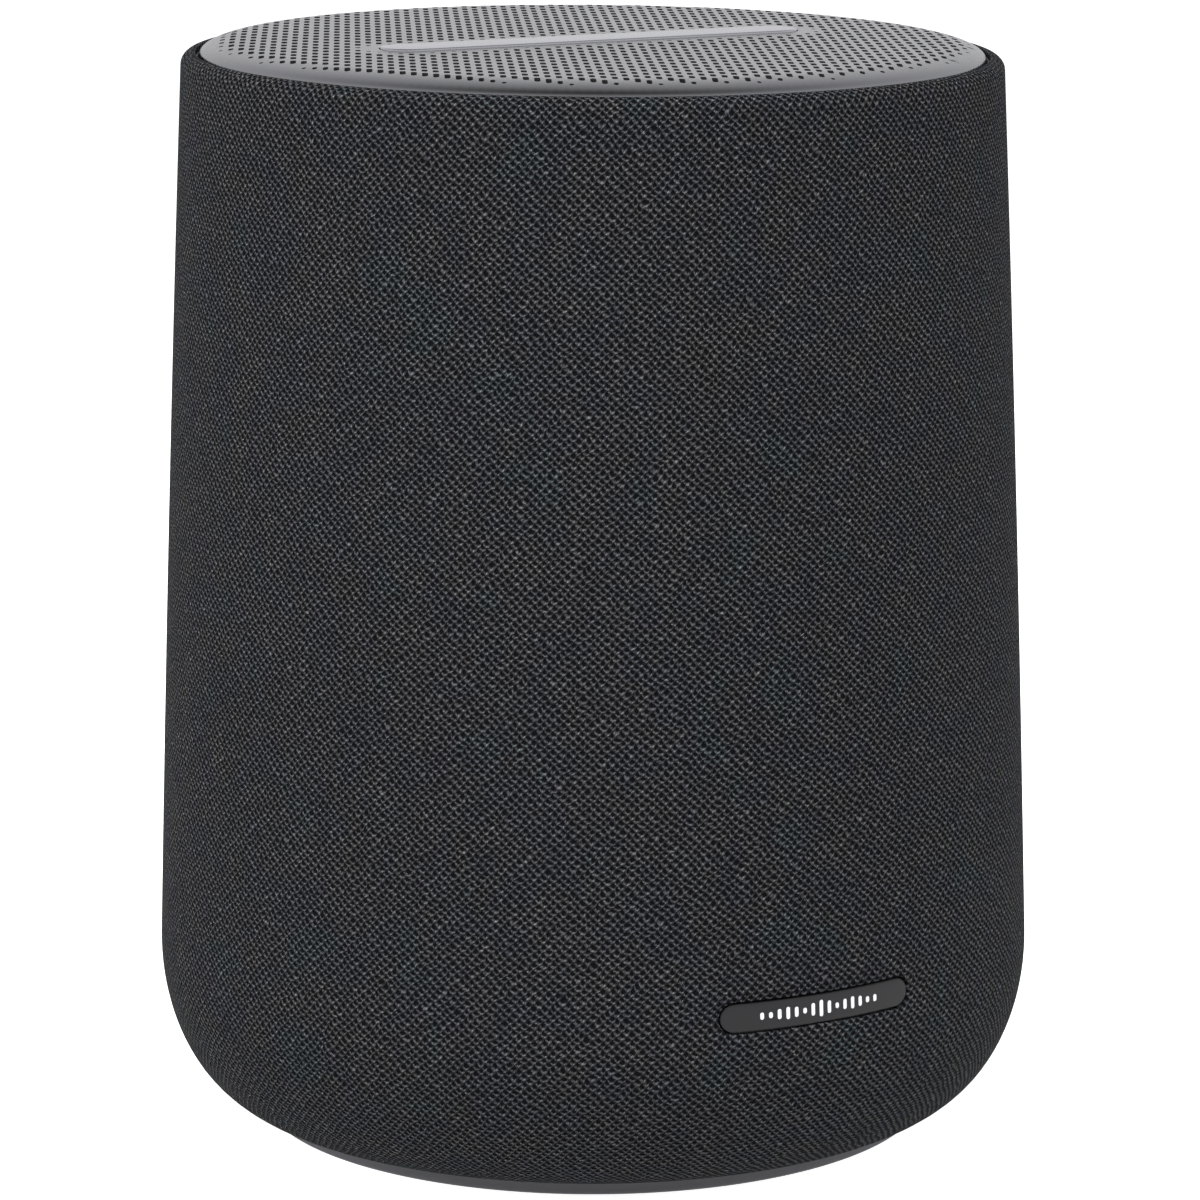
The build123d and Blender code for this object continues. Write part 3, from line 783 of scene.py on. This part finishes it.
def coil_spider(material):
    """The corrugated spider round the voice coil, with its flat outer rim."""
    line = [SPIDER_CRESTS[0]]
    for (r0, d0), (r1, d1) in zip(SPIDER_CRESTS, SPIDER_CRESTS[1:]):
        for i in range(1, 7):
            t = i / 6
            line.append((r0 + (r1 - r0) * t, d0 + (d1 - d0) * t * t * (3 - 2 * t)))
    section = [(r, d - SPIDER_HALF_SHEET) for r, d in line]
    section += [(r, d + SPIDER_HALF_SHEET) for r, d in reversed(line)]
    flexible_ring("coil_spider", "woofer_spider", section, SPIDER_HELD, SPIDER_MOVING,
                  material)


# ================================================================ materials
class Wire:
    """One number travelling through a node graph; the usual operators add math nodes."""

    def __init__(self, graph, socket):
        self.graph = graph
        self.socket = socket

    def _do(self, operation, *others):
        return self.graph.math(operation, self, *others)

    def __add__(self, other):
        return self._do("ADD", other)

    __radd__ = __add__

    def __sub__(self, other):
        return self._do("SUBTRACT", other)

    def __rsub__(self, other):
        return self.graph.math("SUBTRACT", other, self)

    def __mul__(self, other):
        return self._do("MULTIPLY", other)

    __rmul__ = __mul__


class Graph:
    """A material's node graph with one Principled shader."""

    def __init__(self, name, **constants):
        self.material = bpy.data.materials.new(name)
        self.material.use_nodes = True
        self.nodes = self.material.node_tree.nodes
        self.links = self.material.node_tree.links
        self.shader = next(n for n in self.nodes if n.type == "BSDF_PRINCIPLED")
        for key, value in constants.items():
            self.shader.inputs[key.replace("_", " ")].default_value = value

    def node(self, kind, **settings):
        made = self.nodes.new(kind)
        for key, value in settings.items():
            setattr(made, key, value)
        return made

    def feed(self, socket, value):
        if isinstance(value, Wire):
            self.links.new(value.socket, socket)
        else:
            socket.default_value = value

    def math(self, operation, *values):
        made = self.node("ShaderNodeMath", operation=operation)
        for i, value in enumerate(values):
            self.feed(made.inputs[i], value)
        return Wire(self, made.outputs[0])

    def place(self):
        """Object-space x, y and z."""
        if not hasattr(self, "_place"):
            self._coords = self.node("ShaderNodeTexCoord")
            split = self.node("ShaderNodeSeparateXYZ")
            self.links.new(self._coords.outputs["Object"], split.inputs[0])
            self._place = [Wire(self, split.outputs[i]) for i in range(3)]
        return self._place

    def attribute(self, name):
        return Wire(self, self.node("ShaderNodeAttribute", attribute_name=name).outputs["Fac"])

    def vector(self, x, y, z):
        made = self.node("ShaderNodeCombineXYZ")
        for i, value in enumerate((x, y, z)):
            self.feed(made.inputs[i], value)
        return Wire(self, made.outputs[0])

    def noise(self, scale, detail=2.0, roughness=0.5, vector=None):
        """Soft noise; scale is in features per metre when no vector is given."""
        made = self.node("ShaderNodeTexNoise")
        made.inputs["Scale"].default_value = scale
        made.inputs["Detail"].default_value = detail
        made.inputs["Roughness"].default_value = roughness
        if vector is None:
            self.place()
            self.links.new(self._coords.outputs["Object"], made.inputs["Vector"])
        else:
            self.feed(made.inputs["Vector"], vector)
        return Wire(self, made.outputs["Fac"])

    def ramp(self, value, low, high, out_low=0.0, out_high=1.0):
        made = self.node("ShaderNodeMapRange", interpolation_type="SMOOTHSTEP")
        for i, item in enumerate((value, low, high, out_low, out_high)):
            self.feed(made.inputs[i], item)
        return Wire(self, made.outputs[0])

    def mix(self, share, a, b):
        made = self.node("ShaderNodeMix", data_type="RGBA")
        self.feed(made.inputs["Factor"], share)
        for socket, value in ((made.inputs[6], a), (made.inputs[7], b)):
            self.feed(socket, value if isinstance(value, Wire) else (*value, 1.0))
        return Wire(self, made.outputs[2])

    def bump(self, height, distance):
        made = self.node("ShaderNodeBump")
        made.inputs["Strength"].default_value = 1.0
        made.inputs["Distance"].default_value = distance
        self.feed(made.inputs["Height"], height)
        self.links.new(made.outputs[0], self.shader.inputs["Normal"])

    def set(self, name, value):
        self.feed(self.shader.inputs[name], value)


def yarn(g, along, beside, level, crest):
    """One of the knit's two diagonal yarns: its height, shade, fuzz and twist."""
    place = g.math("FRACT", beside) - 0.5
    twist = g.math("COSINE", (place * 2.1 + along * 1.15) * TAU) * 0.5 + 0.5
    round_top = g.ramp(g.math("ABSOLUTE", place), 0.44, 0.04)
    over = g.math("COSINE", along * TAU) * crest + level
    # Each yarn carries its own shade, and the shade drifts along it.
    strand = g.math("FLOOR", beside)
    shade = g.noise(1.0, 2.0, 0.7, g.vector(strand * 3.7, along * 0.8, level * 50.0))
    fuzz = g.noise(1.0, 3.0, 0.8, g.vector(beside * 7.0, along * 2.6, level * 20.0))
    return round_top * over, shade, fuzz, twist


def knit():
    """Charcoal melange knit: staggered stitches with painted shade in their eyes, painted highlights
    below them, and paler yarn, at its real pitch.
    """
    g = Graph("charcoal_knit", Roughness=0.9, Specular_IOR_Level=0.02)
    x, y, z = g.place()
    wobble = 0.75
    across = g.math("ARCTAN2", x, y) * (WALES / TAU) + (g.noise(420, 1.0) - 0.5) * wobble
    rise = g.attribute("course") + (g.noise(420, 1.0, vector=g.vector(y, z, x)) - 0.5) * wobble
    p = across + rise
    q = across - rise
    # One yarn crests where the two cross, and the other shows between the crossings.
    first = yarn(g, q, p, 0.76, -0.24)
    second = yarn(g, p, q, 0.64, 0.26)
    height = g.math("SMOOTH_MAX", first[0], second[0], 0.06)
    first_wins = g.ramp(first[0] - second[0], -0.05, 0.05)
    shade, fuzz, twist = (a * first_wins + b * (1.0 - first_wins) for a, b in zip(first[1:], second[1:]))
    fleck = g.ramp(shade, 0.30, 0.80) * 0.42 + g.ramp(fuzz, 0.35, 0.80) * 0.58
    # Painted highlight: a band along each row of stitches, just below the eyes, brightens the colour as
    # light from above would on the stitches' upper flanks, so the rows read as level lines.
    row = g.math("COSINE", (p - q - 0.22) * TAU) * 0.5 + 0.5
    # The colour's brightness: the ramp on height darkens the eyes as painted shade and brightens the yarns'
    # crests as painted highlight, the twist term paints thin highlights along the plies, and the fleck term
    # is the yarn's own melange tone.
    lit = g.ramp(height, 0.22, 0.96) * (0.28 + fleck * 1.10) * (0.62 + twist * 0.48) * (0.34 + row * 1.06)
    violet, grey, teal = (0.066, 0.068, 0.080), (0.076, 0.075, 0.076), (0.063, 0.076, 0.082)
    tint = g.mix(g.ramp(g.noise(150, 2.0), 0.35, 0.65), violet, grey)
    tint = g.mix(g.ramp(g.noise(95, 1.0, vector=g.vector(z, x, y)), 0.55, 0.75), tint, teal)
    pale = g.mix(g.ramp(fleck, 0.35, 1.0), tint, (0.150, 0.151, 0.160))
    # Where the brightness mask is low the colour goes near-black: painted shade in the eyes between the
    # stitches.
    g.set("Base Color", g.mix(lit, (0.0026, 0.0026, 0.0031), pale))
    g.bump(height + fuzz * 0.08 + twist * 0.08, 0.5 * MM)
    return g.material


def satin_metal(name="satin_metal", tone=1.0, grazing=0.87):
    """Bead-blasted satin aluminium with a very fine grain; grazing tones its low-angle shine."""
    g = Graph(name, Metallic=1.0, Specular_Tint=(grazing, grazing, grazing, 1.0))
    grain = g.noise(9000, 2.0, 0.6)
    haze = g.noise(35, 3.0, 0.55)
    dark, mid, pale = (tuple(c * tone for c in shade) for shade in
                       ((0.218, 0.219, 0.232), (0.245, 0.246, 0.260), (0.294, 0.295, 0.308)))
    g.set("Base Color", g.mix(grain * 0.3, g.mix(haze, dark, mid), pale))
    g.set("Roughness", 0.20 + haze * 0.05 + grain * 0.05)
    g.bump(grain, 0.012 * MM)
    return g.material


def moulded(name, colour, rough=0.5, grain_scale=2600.0, grain=0.02, tone=0.25, metallic=0.0, **constants):
    """Moulded or plated stock: fine texture, slight tone drift and uneven gloss."""
    g = Graph(name, Metallic=metallic, **constants)
    fine = g.noise(grain_scale, 3.0, 0.6)
    drift = g.noise(60, 3.0, 0.6)
    pale = tuple(min(1.0, c * (1 + tone) + 0.004) for c in colour)
    dark = tuple(c * (1 - tone) for c in colour)
    g.set("Base Color", g.mix(fine * 0.5 + drift * 0.5, dark, pale))
    g.set("Roughness", rough - 0.06 + drift * 0.12 + fine * 0.05)
    g.bump(fine, grain * MM)
    return g.material


def woven(name, colour):
    """Fine acoustic cloth: a small plain weave."""
    g = Graph(name, Roughness=0.9)
    x, y, z = g.place()
    pitch = TAU / (0.5 * MM)
    weft = g.math("SINE", x * pitch) * g.math("SINE", y * pitch)
    fuzz = g.noise(3000, 2.0)
    height = g.ramp(weft + fuzz * 0.5, -0.6, 0.9)
    # The colour is darker where the weave is low: painted shade between the threads.
    g.set("Base Color", g.mix(height, tuple(c * 0.3 for c in colour), colour))
    g.bump(height, 0.08 * MM)
    return g.material


def circuit(name):
    """Solder mask with copper tracks showing faintly through it."""
    g = Graph(name)
    cells = g.node("ShaderNodeTexVoronoi", feature="DISTANCE_TO_EDGE", distance="CHEBYCHEV")
    cells.inputs["Scale"].default_value = 320.0
    g.place()
    g.links.new(g._coords.outputs["Object"], cells.inputs["Vector"])
    track = g.ramp(Wire(g, cells.outputs[0]), 0.05, 0.09)
    g.set("Base Color", g.mix(track, (0.03, 0.16, 0.06), (0.008, 0.075, 0.03)))
    g.set("Roughness", 0.32 + g.noise(500, 2.0) * 0.15)
    g.bump(track, 0.03 * MM)
    return g.material


def slot_materials():
    """One procedural material for each of the record's slots."""
    return {
        "satin_metal_top": satin_metal(),
        "grey_rubber": moulded("grey_rubber", (0.066, 0.066, 0.074), 0.72, 3000, 0.03, 0.12),
        "dark_satin_plastic": moulded("dark_satin_plastic", (0.0085, 0.0084, 0.0092), 0.42, 4000, 0.008, 0.10,
                                      Specular_IOR_Level=0.14),
        "badge_inlay": moulded("badge_inlay", (0.44, 0.44, 0.455), 0.42, 4000, 0.006, 0.05),
        "black_plastic": moulded("black_plastic", (0.012, 0.012, 0.013), 0.55, 2200, 0.02),
        "black_mesh": woven("black_mesh", (0.012, 0.012, 0.012)),
        "black_foam": moulded("black_foam", (0.015, 0.015, 0.015), 0.95, 1500, 0.10),
        "diffuser": moulded("diffuser", (0.72, 0.72, 0.70), 0.45, 1200, 0.006, 0.04),
        "zinc_steel": moulded("zinc_steel", (0.48, 0.48, 0.50), 0.34, 1800, 0.01, 0.12, 1.0),
        "ferrite": moulded("ferrite", (0.05, 0.05, 0.055), 0.62, 2400, 0.03),
        "cone_paper": moulded("cone_paper", (0.022, 0.022, 0.024), 0.85, 1600, 0.08),
        "copper_winding": moulded("copper_winding", (0.55, 0.22, 0.08), 0.35, 5000, 0.04, 0.15, 0.9),
        "circuit_board": circuit("circuit_board"),
        "component_black": moulded("component_black", (0.02, 0.02, 0.021), 0.48, 2600, 0.015),
        "component_metal": moulded("component_metal", (0.55, 0.55, 0.56), 0.36, 1600, 0.012, 0.08, 1.0),
        "led_white": moulded("led_white", (0.80, 0.80, 0.74), 0.30, 1500, 0.004, 0.03),
        "ribbon": moulded("ribbon", (0.62, 0.61, 0.57), 0.40, 900, 0.01, 0.06),
    }


def dress_cad(materials):
    """Gives every carried-over CAD node its slot's material."""
    slots = {part["node"]: part["material_slot"] for part in frame["record"]["subparts"]}
    for name, obj in frame["nodes"].items():
        material = materials.get(slots[name], materials["black_plastic"])
        obj.data.materials.clear()
        obj.data.materials.append(material)


# ================================================================ stage
def aim(obj, place, target, up=Vector((0, 0, 1))):
    """Puts an object at a place, looking at a target along its own -Z."""
    look = (Vector(target) - Vector(place)).normalized()
    right = look.cross(up).normalized()
    turn = Matrix((right, right.cross(look), -look)).transposed()
    obj.matrix_world = Matrix.Translation(place) @ turn.to_4x4()


def softbox(name, place, target, power):
    """A soft lamp that lights broadly, so that the metal mirrors the studio and not the lamp."""
    light = bpy.data.lights.new(name, "AREA")
    light.shape = "RECTANGLE"
    light.size = 0.7
    light.size_y = 0.8
    light.energy = power
    obj = bpy.data.objects.new(name, light)
    bpy.context.scene.collection.objects.link(obj)
    aim(obj, place, target)
    obj.visible_glossy = False


CAMERA_TURN = math.radians(-29.5)
CAMERA_DIP = math.radians(11.31)
CAMERA_DISTANCE = 850 * MM
CAMERA_RIGHT = Vector((math.cos(CAMERA_TURN), math.sin(CAMERA_TURN), 0))
CAMERA_SHIFT_RIGHT = 1.21 * MM  # the object sits slightly left of and above the middle of the view
CAMERA_SHIFT_DOWN = 5.16 * MM
VIEW_CENTRE = Vector((0, 0, 94 * MM))
LIGHT_CENTRE = Vector((0, 0, 100 * MM))
LIGHT_DISTANCE = 1.3
# Each softbox: degrees to the camera's right, degrees up, and power in watts.
SOFTBOXES = {"softbox_left": (-62, 32, 20.0), "softbox_right": (62, 32, 14.0), "softbox_top": (-6, 66, 34.0)}
FLOOR_SIZE = 8.0
MIRRORED_HORIZON = 0.94         # brightness of what the metal mirrors at the horizon
MIRRORED_FALL = 0.86            # how much of it is gone straight overhead


def seen_from(turn, height, distance):
    """A place round the object: degrees to the camera's right, degrees up, and a distance."""
    turn = CAMERA_TURN + math.radians(turn)
    height = math.radians(height)
    way = Vector((math.sin(turn) * math.cos(height), -math.cos(turn) * math.cos(height), math.sin(height)))
    return VIEW_CENTRE + way * distance


class Sky:
    """The world's node graph."""

    def __init__(self):
        world = bpy.data.worlds.new("studio")
        bpy.context.scene.world = world
        world.use_nodes = True
        self.nodes = world.node_tree.nodes
        self.links = world.node_tree.links
        self.direction = self.nodes.new("ShaderNodeTexCoord").outputs["Generated"]
        self.path = self.nodes.new("ShaderNodeLightPath")

    def background(self, colour):
        made = self.nodes.new("ShaderNodeBackground")
        made.inputs["Color"].default_value = (*colour, 1.0)
        return made

    def either(self, when, no, yes):
        """Picks a shader by the kind of ray."""
        pick = self.nodes.new("ShaderNodeMixShader")
        self.links.new(self.path.outputs[when], pick.inputs[0])
        self.links.new(no.outputs[0], pick.inputs[1])
        self.links.new(yes.outputs[0], pick.inputs[2])
        return pick

    def beyond_light(self):
        """Light on the cloth: bright beyond the object, dim on the near side."""
        beyond = self.nodes.new("ShaderNodeVectorMath")
        beyond.operation = "DOT_PRODUCT"
        beyond.inputs[1].default_value = (-math.sin(CAMERA_TURN), math.cos(CAMERA_TURN), 0.0)
        self.links.new(self.direction, beyond.inputs[0])
        share = self.nodes.new("ShaderNodeMapRange")
        share.inputs["From Min"].default_value = -1.0
        self.links.new(beyond.outputs["Value"], share.inputs["Value"])
        levels = self.nodes.new("ShaderNodeValToRGB")
        self.links.new(share.outputs[0], levels.inputs[0])
        ramp = levels.color_ramp
        ramp.interpolation = "EASE"
        ramp.elements[0].color = (0.012, 0.012, 0.0125, 1.0)
        ramp.elements[1].position = 0.95
        ramp.elements[1].color = (0.90, 0.90, 0.92, 1.0)
        ramp.elements.new(0.5).color = (0.10, 0.10, 0.104, 1.0)
        made = self.background((1.0, 1.0, 1.0))
        self.links.new(levels.outputs[0], made.inputs["Color"])
        return made

    def mirrored_light(self):
        """What the metal mirrors, the same from every side: a bright horizon under a dim ceiling."""
        height = self.nodes.new("ShaderNodeSeparateXYZ")
        self.links.new(self.direction, height.inputs[0])
        steep = self.nodes.new("ShaderNodeMath")
        steep.operation = "POWER"
        steep.inputs[1].default_value = 4.0
        self.links.new(height.outputs["Z"], steep.inputs[0])
        dimmed = self.nodes.new("ShaderNodeMath")
        dimmed.operation = "MULTIPLY_ADD"
        dimmed.inputs[1].default_value = -MIRRORED_FALL
        dimmed.inputs[2].default_value = MIRRORED_HORIZON
        self.links.new(steep.outputs[0], dimmed.inputs[0])
        made = self.background((0.98, 0.98, 1.0))
        self.links.new(dimmed.outputs[0], made.inputs["Strength"])
        return made


def studio_world():
    """White behind the object, with soft light on the cloth and a plain horizon for the metal."""
    sky = Sky()
    unseen = sky.either("Is Glossy Ray", sky.beyond_light(), sky.mirrored_light())
    seen = sky.either("Is Camera Ray", unseen, sky.background((1.0, 1.0, 1.0)))
    sky.links.new(seen.outputs[0], sky.nodes["World Output"].inputs[0])


def studio_floor():
    """A plain pale floor."""
    mesh = bpy.data.meshes.new("studio_floor")
    half = FLOOR_SIZE / 2
    corners = [(-half, -half, 0), (half, -half, 0), (half, half, 0), (-half, half, 0)]
    mesh.from_pydata(corners, [], [(0, 1, 2, 3)])
    obj = bpy.data.objects.new("studio_floor", mesh)
    bpy.context.scene.collection.objects.link(obj)
    g = Graph("studio_floor", Roughness=0.9, Specular_IOR_Level=0.05, Emission_Strength=0.92,
              Emission_Color=(1.0, 1.0, 1.0, 1.0))
    g.set("Base Color", g.mix(g.noise(20, 2.0), (0.52, 0.52, 0.52), (0.56, 0.56, 0.56)))
    mesh.materials.append(g.material)


def product_camera():
    """The camera, at the height and turn that show the front badge and the top plate."""
    data = bpy.data.cameras.new("product_camera")
    camera = bpy.data.objects.new("product_camera", data)
    bpy.context.scene.collection.objects.link(camera)
    data.sensor_width = 36.0
    data.lens = 146.85
    data.clip_start = 0.01
    place = seen_from(0, math.degrees(CAMERA_DIP), CAMERA_DISTANCE)
    up = (place - VIEW_CENTRE).normalized().cross(CAMERA_RIGHT)
    aim(camera, place, VIEW_CENTRE + CAMERA_RIGHT * CAMERA_SHIFT_RIGHT - up * CAMERA_SHIFT_DOWN)
    bpy.context.scene.camera = camera


def stage():
    """A pale floor, soft light all round, and the camera."""
    studio_floor()
    studio_world()
    bpy.context.scene.view_settings.view_transform = "Standard"
    for name, (turn, height, power) in SOFTBOXES.items():
        softbox(name, seen_from(turn, height, LIGHT_DISTANCE), LIGHT_CENTRE, power)
    product_camera()


# ================================================================ build
materials = slot_materials()
dress_cad(materials)
# Near-black material for the plate's slot walls: painted shade inside the holes.
hole_wall_painted_shade = moulded("hole_wall_painted_shade", (0.010, 0.010, 0.011), 0.6)
sleeve = knit_sleeve(knit())
perforated_plate(materials["satin_metal_top"], hole_wall_painted_shade)
touch_bar(satin_metal("satin_touch_bar", 1.7, 1.0))
foot(materials["grey_rubber"])
badge_plate(materials["dark_satin_plastic"])
badge_marks(materials["badge_inlay"])
cone_surround(materials["grey_rubber"])
coil_spider(materials["black_mesh"])
stage()
